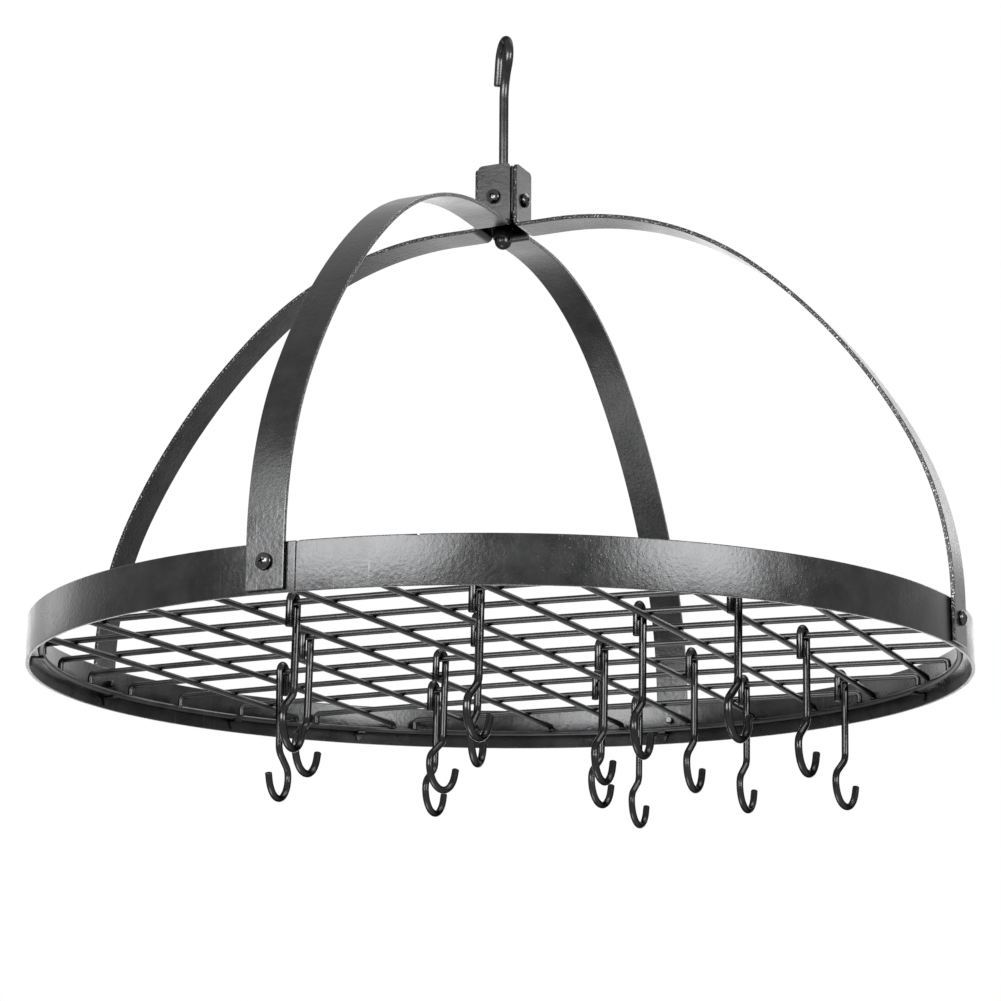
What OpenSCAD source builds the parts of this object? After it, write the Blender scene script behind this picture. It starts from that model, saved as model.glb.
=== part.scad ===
// Round hanging pot rack: a ceiling hook carries a hub block, four bent
// bars hold a rim with a wire grid inside it, and pot hooks hang loose on
// the wires. Millimetres, +Z up. The origin is the bearing point inside the
// top of the ceiling hook, on the axis of the stem.

/* [Rim] */
// outer radius of the rim band
rim_r = 381; // [360:1:400]
// height of the rim band
rim_h = 36; // [32:1:50]
// thickness of the rim band
rim_t = 3; // [2:0.1:4]
// width of the weld seam in the band
seam_w = 1.2; // [0.8:0.1:2.5]
// depth of the weld seam in the band
seam_d = 0.3; // [0.2:0.1:1.2]
// direction of the weld seam
seam_turn = 271.5; // [269:0.1:300]

/* [Grid] */
// spacing of the grid wires, both ways
wire_pitch = 66.5; // [64:0.5:68]
// diameter of the grid wires
wire_d = 5; // [4:0.1:5]
// depth to which welded pieces sink into each other
weld = 0.3; // [0.25:0.05:0.5]
// radius to which the grid is crowned
crown_r = 15200; // [9000:100:30000]
// height of the long wires over the rim's bottom edge, at the grid's edge
grid_z = 23.5; // [23.5:0.1:26]
// radius of the bend at the wire ends
wire_bend_r = 3.6; // [3.4:0.1:3.6]
// diameter of the ring wire
ring_d = 5; // [4:0.1:5]
// height of the ring's centre over the rim's bottom edge
ring_z = 12.7; // [12:0.1:12.7]
// free space between the ring and the rim
ring_gap = 6; // [4:0.5:9]

/* [Lugs] */
// directions of the lugs, round the rim
lug_turns = [40, 89, 134, 154, 179, 209, 254, 314, 359];
// width of a lug at its top
lug_w = 7; // [5:0.5:12]
// width of a lug at its bottom
lug_tip_w = 2; // [1:0.5:4]
// height of a lug
lug_h = 8; // [5:0.5:9]
// thickness of the lug sheet
lug_t = 2; // [1.5:0.1:2.5]

/* [Arms] */
// height of the arms' top face over the rim's bottom edge
dome_h = 386; // [380:1:430]
// width of the arm bar
arm_w = 30; // [22:0.5:31]
// thickness of the arm bar
arm_t = 3.5; // [2.5:0.1:4.5]
// height of the arm's foot over the rim's bottom edge
foot_z = 2; // [0:0.5:6]
// free play between the arm's foot and the rim
foot_gap = 0.1; // [0.05:0.05:0.3]
// turn of the arms against the grid wires
arm_turn = -1.8; // [-4:0.1:4]
// outer radius of the lowest bend
low_bend_r = 282; // [230:1:300]
// angle of the lowest bend
low_bend = 27.5; // [22:0.1:31]
// outer radius of the middle bend
mid_bend_r = 495; // [420:5:535]
// angle of the middle bend
mid_bend = 22.5; // [18:0.1:26]
// distance from the axis at which the flat top run ends
flat_r = 50; // [40:1:70]
// inner radius of the bend into the tab
tab_bend_r = 3; // [2:0.1:5]
// height of the tab's top over the arms' top face
tab_h = 53; // [45:1:60]
// radius of the rounded corners at the arm's tab
corner_r = 4; // [1:0.1:8]
// radius of the rounded corners at the arm's foot
foot_corner_r = 1; // [0.5:0.1:6]

/* [Hub] */
// side of the square hub block
hub_w = 32; // [31:0.5:40]
// height of the hub block
hub_h = 41; // [34:0.5:50]
// height of the hub block's underside over the arms' top face
hub_lift = 10; // [8:0.5:14]
// radial play of the stem in the hub block
stem_play = 0.06; // [0.02:0.01:0.1]
// height of the tab screws over the hub block's underside
tab_screw_z = 14; // [9:0.5:24]

/* [Screws] */
// thread diameter of the screws
screw_d = 6; // [4:0.1:6.5]
// diameter of the screw heads
head_d = 12; // [10:0.1:14]
// height of the screw heads
head_h = 4.6; // [3.5:0.1:6]
// width of the cross recess
recess_w = 1.3; // [0.8:0.1:1.8]
// length of the cross recess
recess_l = 6.4; // [4:0.1:7.5]
// depth of the cross recess
recess_depth = 2.4; // [1:0.1:3]
// play between the screw and the hole in the arm
hole_play = 0.4; // [0.2:0.05:0.8]
// radial bite of a thread in its tapped hole
thread_bite = 0.1; // [0.05:0.01:0.2]
// length of the rim screws under the head
rim_screw_l = 12; // [9:0.5:14]
// length of the tab screws under the head
tab_screw_l = 13; // [8:0.5:13.5]
// height of the rim screws over the rim's bottom edge
rim_screw_z = 22; // [18:0.5:24]

/* [Ceiling hook] */
// diameter of the hook rod
rod_d = 7.9; // [6:0.1:9]
// centre-line radius of the hook bowl
bowl_r = 15.8; // [12:0.1:20]
// centre-line radius of the bend below the bowl
neck_r = 38; // [25:1:50]
// straight stem showing above the hub block
stem_h = 67; // [30:1:110]
// angle by which the hook tip flares out
tip_flare = 12; // [0:1:25]
// length of the straight tip
tip_l = 21.4; // [10:0.2:32]
// turn of the hook about the stem
hook_turn = -52; // [-180:1:180]

/* [Nuts] */
// thickness of the washer
washer_t = 2; // [1.2:0.1:2.5]
// outer diameter of the washer
washer_d = 22; // [18:0.5:26]
// width across the flats of the nuts
nut_af = 16; // [14:0.1:17]
// height of the lock nut
lock_nut_h = 7.8; // [5:0.1:9]
// height of the cap nut's hexagon
cap_hex_h = 8; // [6:0.1:9]
// height of the cap nut's dome
cap_dome_h = 9; // [7:0.1:11]
// play between the hub block and the washer
swivel_gap = 0.05; // [0.02:0.01:0.1]

/* [Pot hooks] */
// diameter of the hook wire
hook_d = 6; // [4:0.1:6.4]
// overall height of a pot hook
hook_h = 121; // [110:1:135]
// centre-line radius of the arch over the grid wire
arch_r = 7.2; // [6.6:0.1:9]
// play between the arch and the grid wire
arch_play = 0.3; // [0.2:0.05:0.5]
// length of the short leg, from the top of the arch
short_leg = 29; // [20:0.5:40]
// centre-line radius of the pot hook's bowl
pot_bowl_r = 20; // [16:0.5:24]
// sideways place of the bowl's centre
pot_bowl_shift = 8; // [0:0.5:9]
// angle of the slanted part over the bowl
slant = 52; // [40:1:60]
// centre-line radius of the bends of the slanted part
slant_r = 11; // [6:0.5:12]
// angle by which the bowl's tip leans out
pot_tip_flare = 15; // [5:1:25]
// length of the bowl's straight tip
pot_tip_l = 6; // [3:0.5:10]
// lean at which a pot hook hangs in balance
hang_lean = 2.5; // [0:0.1:4]

/* [Hidden] */
$fn = 96;
// ten wires each way, the pot hooks count on them
wire_count = 10;
// bent bars are drawn in runs: a bend stops this short of its ends, and a
// thin band closes the joint
nip = 0.05;
band_l = 0.3;
band_t = 0.02;
ring_r = rim_r - rim_t - ring_gap - ring_d / 2;
long_top = grid_z + ring_r * ring_r / (2 * crown_r);
cross_top = long_top - wire_d + weld;
ring_top = ring_z + ring_d / 2;

arm_out = rim_r + foot_gap + arm_t;
high_sin = sin(low_bend + mid_bend);
high_cos = cos(low_bend + mid_bend);
low_run = low_bend_r * (1 - cos(low_bend));
mid_run = mid_bend_r * (cos(low_bend) - high_cos);
high_bend_r = (arm_out - flat_r - low_run - mid_run) / high_cos;
mid_rise = mid_bend_r * (high_sin - sin(low_bend));
high_rise = high_bend_r * (1 - high_sin);
arm_rise = low_bend_r * sin(low_bend) + mid_rise + high_rise;
leg_top = dome_h - arm_rise;

hub_z = dome_h + hub_lift;
hub_top = hub_z + hub_h;
tab_out = hub_w / 2 + arm_t;
stem_top = hub_top + stem_h;
neck_rise = sqrt(bowl_r * bowl_r + 2 * neck_r * bowl_r);
bowl_z = stem_top + neck_rise;
bear_z = bowl_z + bowl_r - rod_d / 2;
washer_z = hub_z - swivel_gap - washer_t;
lock_z = washer_z - lock_nut_h;
cap_z = lock_z - cap_hex_h;
stem_low = cap_z - 2;
neck_turn = atan2(neck_rise, neck_r);

arch_top = wire_d / 2 + arch_play + hook_d;
arch_z = arch_top - hook_d / 2 - arch_r;
pot_bowl_z = arch_top - hook_h + hook_d / 2 + pot_bowl_r;
slant_t = slant_r * tan(slant / 2);
slant_run = arch_r - (pot_bowl_shift - pot_bowl_r);
slant_low = pot_bowl_z + slant_t;
slant_high = slant_low + slant_run / tan(slant);
slant_l = slant_run / sin(slant) - 2 * slant_t;

// everything below is drawn over the rim's bottom edge, then hung from the
// bearing point by this move
module hung() {
  translate([0, 0, -bear_z]) children();
}

// round bar along an arc in the X-Z plane, angles taken from +X, with
// bands at the given angles
module bar_arc(r, from, to, bands, d) {
  skip = nip / r * 180 / PI;
  rotate([90, 0, 0]) {
    rotate([0, 0, from + skip])
      rotate_extrude(angle = to - from - 2 * skip, $fn = max(96, r / 10))
        translate([r, 0])
          circle(d = d, $fn = 96);
    for (turn = bands)
      rotate([0, 0, turn])
        translate([r, 0, 0])
          rotate([90, 0, 0])
            cylinder(h = band_l, d = d + 2 * band_t, center = true);
  }
}

// upright round bar
module bar_up(x, low, high, d) {
  translate([x, 0, low])
    cylinder(h = high - low, d = d);
}

// straight round bar from a point, leaning from the downward direction
// toward +X
module bar_lean(x, z, lean, length, d) {
  translate([x, 0, z])
    rotate([0, 180 - lean, 0])
      cylinder(h = length, d = d);
}

module rim_band() {
  color("DimGray")
    hung()
      difference() {
        rotate_extrude()
          translate([rim_r - rim_t, 0])
            square([rim_t, rim_h]);
        rotate([0, 0, seam_turn])
          translate([rim_r - seam_d, -seam_w / 2, -1])
            cube([seam_d + 5, seam_w, rim_h + 2]);
        arm_places()
          translate([0, 0, rim_screw_z])
            rotate([0, 90, 0])
              cylinder(h = rim_r + 10, d = screw_d - 2 * thread_bite);
      }
}

module grid_ring() {
  color("Gray")
    hung()
      rotate_extrude()
        translate([ring_r, ring_z])
          circle(d = ring_d);
}

// one crowned grid wire along X, its ends bent down onto the ring
module grid_wire(off, top) {
  end_x = sqrt(ring_r * ring_r - off * off);
  half = asin((end_x - wire_bend_r) / (crown_r - wire_bend_r));
  mid_z = top - off * off / (2 * crown_r);
  knee_z = mid_z - wire_bend_r - (crown_r - wire_bend_r) * (1 - cos(half));
  translate([0, 0, mid_z])
    translate([0, 0, -crown_r])
      bar_arc(crown_r, 90 - half, 90 + half, [], wire_d);
  for (s = [0, 1])
    mirror([s, 0, 0]) {
      translate([end_x - wire_bend_r, 0, knee_z])
        bar_arc(wire_bend_r, 0, 90 - half, [0, 90 - half], wire_d);
      bar_up(end_x, ring_top - weld, knee_z, wire_d);
    }
}

module long_wires() {
  color("Gray")
    hung()
      for (i = [0 : wire_count - 1]) {
        off = (i - (wire_count - 1) / 2) * wire_pitch;
        translate([0, off, 0])
          grid_wire(off, long_top);
      }
}

module cross_wires() {
  color("Gray")
    hung()
      for (i = [0 : wire_count - 1]) {
        off = (i - (wire_count - 1) / 2) * wire_pitch;
        rotate([0, 0, 90])
          translate([0, off, 0])
            grid_wire(off, cross_top);
      }
}

// a lug: a tapered plate on the rim with a shelf under the ring
module grid_lug() {
  low = ring_z - ring_d / 2 + weld;
  plate_x = rim_r - rim_t + weld - lug_t;
  translate([plate_x, 0, low])
    rotate([90, 0, 90])
      linear_extrude(lug_t)
        polygon([[-lug_w / 2, 0], [-lug_w / 2, -lug_t],
          [-lug_tip_w / 2, -lug_h], [lug_tip_w / 2, -lug_h],
          [lug_w / 2, -lug_t], [lug_w / 2, 0]]);
  translate([ring_r - ring_d / 2, -lug_w / 2, low - lug_t])
    cube([plate_x - ring_r + ring_d / 2, lug_w, lug_t]);
}

module grid_lugs() {
  color("Gray")
    hung()
      for (turn = lug_turns)
        rotate([0, 0, turn])
          grid_lug();
}

// copies what stands on +X to the four arm directions
module arm_places() {
  for (turn = [0, 90, 180, 270])
    rotate([0, 0, turn + arm_turn])
      children();
}

// flat bar along an arc in the X-Z plane, r being its outer radius, with
// bands at the given angles
module flat_arc(r, from, to, bands) {
  skip = nip / r * 180 / PI;
  rotate([90, 0, 0]) {
    rotate([0, 0, from + skip])
      rotate_extrude(angle = to - from - 2 * skip)
        translate([r - arm_t, -arm_w / 2])
          square([arm_t, arm_w]);
    for (turn = bands)
      rotate([0, 0, turn])
        translate([r - arm_t / 2, 0, 0])
          cube([arm_t + 2 * band_t, band_l, arm_w + 2 * band_t], center = true);
  }
}

// rounds both corners of a bar end lying in the Y-Z plane, end upward
module corner_cut(x, z, r) {
  for (s = [0, 1])
    mirror([0, s, 0])
      translate([x, arm_w / 2 - r, z - r])
        difference() {
          translate([-arm_t, 0, 0])
            cube([3 * arm_t, r + 1, r + 1]);
          translate([-arm_t - 1, 0, 0])
            rotate([0, 90, 0])
              cylinder(h = 3 * arm_t + 2, r = r);
        }
}

module arm() {
  low_c = [arm_out - low_bend_r, leg_top];
  mid_x = low_c[0] + (low_bend_r - mid_bend_r) * cos(low_bend);
  mid_z = low_c[1] + (low_bend_r - mid_bend_r) * sin(low_bend);
  high_x = mid_x + (mid_bend_r - high_bend_r) * high_cos;
  high_z = mid_z + (mid_bend_r - high_bend_r) * high_sin;
  knee_x = tab_out + tab_bend_r;
  all_bend = low_bend + mid_bend;
  difference() {
    union() {
      translate([arm_out - arm_t, -arm_w / 2, foot_z])
        cube([arm_t, arm_w, leg_top - foot_z]);
      translate([low_c[0], 0, low_c[1]])
        flat_arc(low_bend_r, 0, low_bend, [0, low_bend]);
      translate([mid_x, 0, mid_z])
        flat_arc(mid_bend_r, low_bend, all_bend, [all_bend]);
      translate([high_x, 0, high_z])
        flat_arc(high_bend_r, all_bend, 90, [90]);
      translate([knee_x, -arm_w / 2, dome_h - arm_t])
        cube([high_x - knee_x, arm_w, arm_t]);
      translate([knee_x, 0, dome_h + tab_bend_r])
        flat_arc(tab_bend_r + arm_t, 180, 270, [180, 270]);
      translate([hub_w / 2, -arm_w / 2, dome_h + tab_bend_r])
        cube([arm_t, arm_w, tab_h - tab_bend_r]);
    }
    translate([0, 0, rim_screw_z])
      rotate([0, 90, 0])
        cylinder(h = arm_out + 10, d = screw_d + hole_play);
    translate([0, 0, hub_z + tab_screw_z])
      rotate([0, 90, 0])
        cylinder(h = tab_out + 10, d = screw_d + hole_play);
    corner_cut(hub_w / 2, dome_h + tab_h, corner_r);
    translate([0, 0, foot_z])
      mirror([0, 0, 1])
        corner_cut(arm_out - arm_t, 0, foot_corner_r);
  }
}

module placed_arm(turn) {
  color("SlateGray")
    hung()
      rotate([0, 0, turn + arm_turn])
        arm();
}

module arm_front() {
  placed_arm(270);
}

module arm_left() {
  placed_arm(180);
}

module arm_right() {
  placed_arm(0);
}

module arm_back() {
  placed_arm(90);
}

module hub_block() {
  color("DarkSlateGray")
    hung()
      rotate([0, 0, arm_turn])
        difference() {
          translate([-hub_w / 2, -hub_w / 2, hub_z])
            cube([hub_w, hub_w, hub_h]);
          translate([0, 0, hub_z - 1])
            cylinder(h = hub_h + 2, d = rod_d + 2 * stem_play);
          for (turn = [0, 90, 180, 270])
            rotate([0, 0, turn])
              translate([tab_out - tab_screw_l - 0.5, 0, hub_z + tab_screw_z])
                rotate([0, 90, 0])
                  cylinder(h = hub_w, d = screw_d - 2 * thread_bite);
        }
}

// pan head screw along +X, head outward, underside of the head at x = 0
module pan_screw(length) {
  dome = head_h * 0.45;
  cap_r = (head_d * head_d / 4 + dome * dome) / (2 * dome);
  difference() {
    union() {
      rotate([0, 90, 0])
        cylinder(h = head_h - dome, d = head_d);
      intersection() {
        translate([head_h - dome - 0.01, 0, 0])
          rotate([0, 90, 0])
            cylinder(h = dome + 0.01, d = head_d);
        translate([head_h - cap_r, 0, 0])
          sphere(r = cap_r);
      }
      translate([-length, 0, 0])
        rotate([0, 90, 0])
          cylinder(h = length, d = screw_d);
    }
    for (turn = [0, 90])
      rotate([turn, 0, 0])
        translate([head_h - recess_depth, -recess_w / 2, -recess_l / 2])
          cube([recess_depth + 1, recess_w, recess_l]);
  }
}

module hub_screws() {
  color("Black")
    hung()
      arm_places()
        translate([tab_out, 0, hub_z + tab_screw_z])
          rotate([45, 0, 0])
            pan_screw(tab_screw_l);
}

module rim_screws() {
  color("Black")
    hung()
      arm_places()
        translate([arm_out, 0, rim_screw_z])
          rotate([20, 0, 0])
            pan_screw(rim_screw_l);
}

module hanger_hook() {
  tip_x = bowl_r * cos(180 - tip_flare);
  tip_z = bowl_z + bowl_r * sin(180 - tip_flare);
  color("Gray")
    hung()
      rotate([0, 0, hook_turn]) {
        bar_up(0, stem_low, stem_top, rod_d);
        translate([neck_r, 0, stem_top])
          bar_arc(neck_r, 180 - neck_turn, 180, [180 - neck_turn, 180], rod_d);
        translate([0, 0, bowl_z])
          bar_arc(bowl_r, -neck_turn, 180 - tip_flare, [180 - tip_flare], rod_d);
        bar_lean(tip_x, tip_z, -tip_flare, tip_l, rod_d);
      }
}

module hub_washer() {
  color("Gray")
    hung()
      translate([0, 0, washer_z])
        difference() {
          cylinder(h = washer_t, d = washer_d);
          translate([0, 0, -1])
            cylinder(h = washer_t + 2, d = rod_d + 0.3);
        }
}

// hexagon with its corners turned off at the top and bottom faces
module hex_body(height) {
  side_r = nut_af / 2;
  edge_r = side_r / cos(30);
  intersection() {
    cylinder(h = height, r = edge_r, $fn = 6);
    rotate_extrude()
      polygon([[0, 0], [side_r, 0], [edge_r + 0.01, 0.8],
        [edge_r + 0.01, height - 0.8], [side_r, height], [0, height]]);
  }
}

module lock_nut() {
  color("Gray")
    hung()
      translate([0, 0, lock_z])
        difference() {
          hex_body(lock_nut_h);
          translate([0, 0, -1])
            cylinder(h = lock_nut_h + 2, d = rod_d - 2 * thread_bite);
        }
}

module cap_nut() {
  dome_r = (nut_af - 1.6) / 2;
  color("Gray")
    hung()
      translate([0, 0, cap_z])
        difference() {
          union() {
            hex_body(cap_hex_h);
            translate([0, 0, dome_r - cap_dome_h])
              sphere(r = dome_r);
            translate([0, 0, dome_r - cap_dome_h])
              cylinder(h = cap_dome_h - dome_r + 1, r = dome_r);
          }
          translate([0, 0, -2.5])
            cylinder(h = cap_hex_h + 3.5, d = rod_d - 2 * thread_bite);
        }
}

// one pot hook in the X-Z plane, its grid wire's centre at the origin
module pot_hook() {
  tip_turn = 360 - pot_tip_flare;
  tip_x = pot_bowl_shift + pot_bowl_r * cos(pot_tip_flare);
  tip_z = pot_bowl_z - pot_bowl_r * sin(pot_tip_flare);
  knee_x = arch_r - slant_r * (1 - cos(slant));
  knee_z = slant_high + slant_t - slant_r * sin(slant);
  rotate([0, hang_lean, 0]) {
    bar_up(-arch_r, arch_top - short_leg, arch_z, hook_d);
    translate([0, 0, arch_z])
      bar_arc(arch_r, 0, 180, [0, 180], hook_d);
    bar_up(arch_r, slant_high + slant_t, arch_z, hook_d);
    translate([arch_r - slant_r, 0, slant_high + slant_t])
      bar_arc(slant_r, -slant, 0, [-slant, 0], hook_d);
    bar_lean(knee_x, knee_z, -slant, slant_l, hook_d);
    translate([pot_bowl_shift - pot_bowl_r + slant_r, 0, pot_bowl_z])
      bar_arc(slant_r, 180 - slant, 180, [180 - slant, 180], hook_d);
    translate([pot_bowl_shift, 0, pot_bowl_z])
      bar_arc(pot_bowl_r, 180, tip_turn, [tip_turn], hook_d);
    bar_lean(tip_x, tip_z, 180 - pot_tip_flare, pot_tip_l, hook_d);
  }
}

// hangs a pot hook on long wire number row, counted from the front
module placed_hook(along, row, turn) {
  off = (row - (wire_count - 1) / 2) * wire_pitch;
  wire_z = long_top - (off * off + along * along) / (2 * crown_r);
  color("DimGray")
    hung()
      translate([along, off, wire_z])
        rotate([0, 0, 90 + turn])
          pot_hook();
}

module pot_hook_01() {
  placed_hook(-68.5, 1, 5.6);
}

module pot_hook_02() {
  placed_hook(-126, 3, 1.4);
}

module pot_hook_03() {
  placed_hook(-217.3, 5, 184);
}

module pot_hook_04() {
  placed_hook(-68.4, 5, -7.8);
}

module pot_hook_05() {
  placed_hook(-135.8, 7, 1);
}

module pot_hook_06() {
  placed_hook(81.3, 1, -0.5);
}

module pot_hook_07() {
  placed_hook(22.8, 3, 10);
}

module pot_hook_08() {
  placed_hook(75.6, 5, -0.5);
}

module pot_hook_09() {
  placed_hook(21.8, 7, -3.6);
}

module pot_hook_10() {
  placed_hook(158.2, 3, 1.4);
}

module pot_hook_11() {
  placed_hook(7.5, 9, 1.2);
}

module pot_hook_12() {
  placed_hook(130.1, 6, 0.8);
}

module pot_hook_13() {
  placed_hook(255.8, 2, -3.9);
}

module pot_hook_14() {
  placed_hook(131.9, 8, 0.2);
}

module pot_hook_15() {
  placed_hook(246.6, 5, -3.4);
}

module pot_hook_16() {
  placed_hook(219.7, 8, -8.7);
}

rim_band();
grid_ring();
long_wires();
cross_wires();
grid_lugs();
arm_front();
arm_left();
arm_right();
arm_back();
hub_block();
hub_screws();
rim_screws();
hanger_hook();
hub_washer();
lock_nut();
cap_nut();
pot_hook_01();
pot_hook_02();
pot_hook_03();
pot_hook_04();
pot_hook_05();
pot_hook_06();
pot_hook_07();
pot_hook_08();
pot_hook_09();
pot_hook_10();
pot_hook_11();
pot_hook_12();
pot_hook_13();
pot_hook_14();
pot_hook_15();
pot_hook_16();
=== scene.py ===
import bpy
import bmesh
import math
from mathutils import Matrix, Vector


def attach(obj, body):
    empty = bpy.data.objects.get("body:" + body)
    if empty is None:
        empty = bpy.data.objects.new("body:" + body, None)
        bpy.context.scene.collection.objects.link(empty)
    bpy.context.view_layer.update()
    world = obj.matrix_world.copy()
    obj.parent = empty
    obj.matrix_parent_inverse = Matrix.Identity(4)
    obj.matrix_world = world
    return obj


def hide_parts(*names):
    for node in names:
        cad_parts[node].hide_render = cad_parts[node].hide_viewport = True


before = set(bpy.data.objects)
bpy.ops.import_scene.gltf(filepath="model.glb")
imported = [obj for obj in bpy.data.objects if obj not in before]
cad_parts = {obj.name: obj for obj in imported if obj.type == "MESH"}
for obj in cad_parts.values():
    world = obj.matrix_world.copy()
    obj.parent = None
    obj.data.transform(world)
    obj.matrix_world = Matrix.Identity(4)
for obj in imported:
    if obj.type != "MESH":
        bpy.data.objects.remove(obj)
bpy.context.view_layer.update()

mm = 0.001
mergeGap = 0.000005    # points closer than this are one point
levelGap = 0.00001    # edges closer than this to a height lie at it
# heights below count from the rim's bottom edge, which hangs this far under the bearing point
bearing = 553.9346
hungPlace = Matrix.Translation((0, 0, -bearing * mm))
armTurn = -1.8    # the arms and the hub stand turned this far about the stem
finished = []    # each row: piece, body, nodes, slot, paint


# shaping helpers

def clearSelection():
    if bpy.context.object and bpy.context.object.mode != 'OBJECT':
        bpy.ops.object.mode_set(mode='OBJECT')
    bpy.ops.object.select_all(action='DESELECT')


def turned(degrees, axis='Z'):
    return Matrix.Rotation(math.radians(degrees), 4, axis)


def beginRun(name, x, z):
    piece = bpy.context.object
    piece.name = piece.data.name = name
    bpy.ops.object.transform_apply(location=True, rotation=True, scale=True)
    bpy.ops.object.mode_set(mode='EDIT')
    return {'piece': piece, 'at': Vector((x, 0, z)) * mm, 'heading': Vector((0, 0, 1))}


def startRod(name, diameter, x, z, sides=20):
    clearSelection()
    bpy.ops.mesh.primitive_circle_add(vertices=sides, radius=diameter / 2 * mm,
                                      fill_type='NGON', location=(x * mm, 0, z * mm))
    return beginRun(name, x, z)


def startBar(name, thickness, width, x, z):
    clearSelection()
    bpy.ops.mesh.primitive_plane_add(size=1, location=(x * mm, 0, z * mm))
    bpy.context.object.scale = (thickness * mm, width * mm, 1)
    return beginRun(name, x, z)


def runOn(run, length):
    step = run['heading'] * length * mm
    bpy.ops.mesh.extrude_region_move(TRANSFORM_OT_translate={'value': step})
    run['at'] = run['at'] + step


def runRound(run, radius, degrees, steps):
    # a positive turn bends the run to the right, seen from the front
    turn = math.radians(degrees)
    side = Vector((0, 1, 0)).cross(run['heading']) * math.copysign(1, turn)
    centre = run['at'] + side * radius * mm
    bpy.ops.mesh.spin(steps=steps, angle=-turn, center=centre, axis=(0, 1, 0))
    swing = Matrix.Rotation(turn, 3, 'Y')
    run['at'] = centre + swing @ (run['at'] - centre)
    run['heading'] = swing @ run['heading']


def pick(kind, wanted):
    bpy.ops.mesh.select_mode(type=kind)
    bpy.ops.mesh.select_all(action='DESELECT')
    mesh = bpy.context.object.data
    shape = bmesh.from_edit_mesh(mesh)
    for part in {'VERT': shape.verts, 'EDGE': shape.edges, 'FACE': shape.faces}[kind]:
        if wanted(part):
            part.select_set(True)
    bmesh.update_edit_mesh(mesh)


def middle(edge):
    return (edge.verts[0].co + edge.verts[1].co) / 2


def facesDown(face):
    return face.normal.z < -0.9


def closeShape(rounding=0, segments=2, smooth=38, limit=50, flat=False):
    piece = bpy.context.object
    bpy.ops.mesh.select_mode(type='VERT')
    bpy.ops.mesh.select_all(action='SELECT')
    bpy.ops.mesh.remove_doubles(threshold=mergeGap)
    bpy.ops.mesh.normals_make_consistent(inside=False)
    bpy.ops.object.mode_set(mode='OBJECT')
    if rounding:
        soften = piece.modifiers.new('soften', 'BEVEL')
        soften.width = rounding * mm
        soften.segments = segments
        soften.limit_method = 'ANGLE'
        soften.angle_limit = math.radians(limit)
        bpy.ops.object.modifier_apply(modifier='soften')
    bpy.ops.object.shade_smooth_by_angle(angle=math.radians(smooth))
    if flat:
        even = piece.modifiers.new('even', 'WEIGHTED_NORMAL')
        even.keep_sharp = True
        bpy.ops.object.modifier_apply(modifier='even')
    return piece


def copied(piece, name, place):
    twin = piece.copy()
    twin.data = piece.data.copy()
    twin.name = twin.data.name = name
    bpy.context.scene.collection.objects.link(twin)
    twin.data.transform(place)
    return twin


def joined(name, pieces):
    clearSelection()
    for piece in pieces:
        piece.select_set(True)
    bpy.context.view_layer.objects.active = pieces[0]
    bpy.ops.object.join()
    pieces[0].name = pieces[0].data.name = name
    return pieces[0]


def cutAway(piece, cutter):
    clearSelection()
    piece.select_set(True)
    bpy.context.view_layer.objects.active = piece
    cut = piece.modifiers.new('cut', 'BOOLEAN')
    cut.operation = 'DIFFERENCE'
    cut.object = cutter
    cut.solver = 'EXACT'
    bpy.ops.object.modifier_apply(modifier='cut')
    bpy.data.objects.remove(cutter)


def markGrain(piece, grainAt):
    # length along, place across and depth of each point, which the bar paint follows
    mark = piece.data.attributes.new('grain', 'FLOAT_VECTOR', 'POINT')
    for index, point in enumerate(piece.data.vertices):
        mark.data[index].vector = grainAt(point.co)


def keep(piece, body, nodes, slot, paint):
    finished.append((piece, body, nodes, slot, paint))


# rim band

rim = {'radius': 381, 'height': 36, 'thickness': 3, 'edgeRound': 0.6, 'roundSteps': 3,
       'seamTurn': 271.5, 'seamHalf': 0.09, 'seamDepth': 0.3, 'seamSearch': 0.01, 'endRound': 4.2,
       'endReach': 9, 'endShare': 0.8, 'chipTurn': 13.4, 'chipHalf': 0.17, 'chipDepth': 1.3,
       'chipReach': 2.6, 'chipShare': 0.9, 'loopDrops': (1.4, 2.4, 4.4), 'wallWidth': 2,
       'wallLow': 10, 'wallTop': 0.1, 'endSteps': 7, 'plainSteps': 9, 'chipSteps': 4,
       'seamSteps': 2, 'arc': 1.5}


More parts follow.
